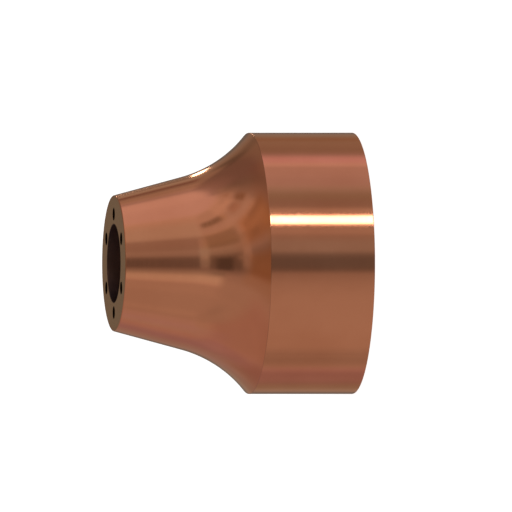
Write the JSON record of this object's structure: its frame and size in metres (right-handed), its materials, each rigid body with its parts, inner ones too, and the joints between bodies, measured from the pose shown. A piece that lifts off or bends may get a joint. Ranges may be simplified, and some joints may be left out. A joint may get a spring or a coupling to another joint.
{
  "type": "plasma gouging shield",
  "caption": "Turned copper shield with a conical nose, a central gas orifice ringed by small vents, and a threaded skirt that screws onto a plasma torch for gouging.",
  "frame": {"origin": "middle of the open rim's plane, on the axis", "axes": "+Z runs along the axis from the rim to the nose; +X runs through one of the small vents"},
  "size_m": [0.0254, 0.0254, 0.0236],
  "materials": {
    "copper": "bare copper, fine turned and semi-bright"
  },
  "bodies": {
    "root": {"shield": "copper"}
  },
  "joints": []
}
